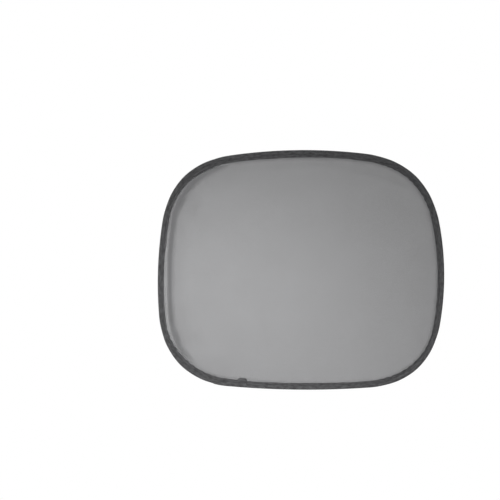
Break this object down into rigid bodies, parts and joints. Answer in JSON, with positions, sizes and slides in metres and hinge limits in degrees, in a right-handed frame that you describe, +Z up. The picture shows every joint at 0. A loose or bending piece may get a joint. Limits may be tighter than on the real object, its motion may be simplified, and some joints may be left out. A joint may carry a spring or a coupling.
{
  "type": "car side window sunshade",
  "caption": "Rounded see-through mesh sunshade on a spring wire hoop with a bound edge, which clings flat to a car's side window.",
  "frame": {"origin": "middle of the cling film's window face", "axes": "+X along the shade's width, to the right seen from the front; +Y from the front towards the window; +Z up"},
  "size_m": [0.44, 0.0057, 0.368],
  "materials": {
    "net": "fine see-through polyester net, matt",
    "film": "clear soft plastic cling film, glossy",
    "tape": "dark grey woven binding tape",
    "thread": "twisted polyester sewing thread",
    "spring_steel": "drawn round wire",
    "crimped_steel": "crimped tube"
  },
  "bodies": {
    "root": {"mesh_panel": "net", "cling_film": "film", "wire_hoop": "spring_steel", "wire_ferrule": "crimped_steel", "binding_tape": "tape", "seam_thread_front": "thread", "seam_thread_back": "thread"}
  },
  "joints": []
}
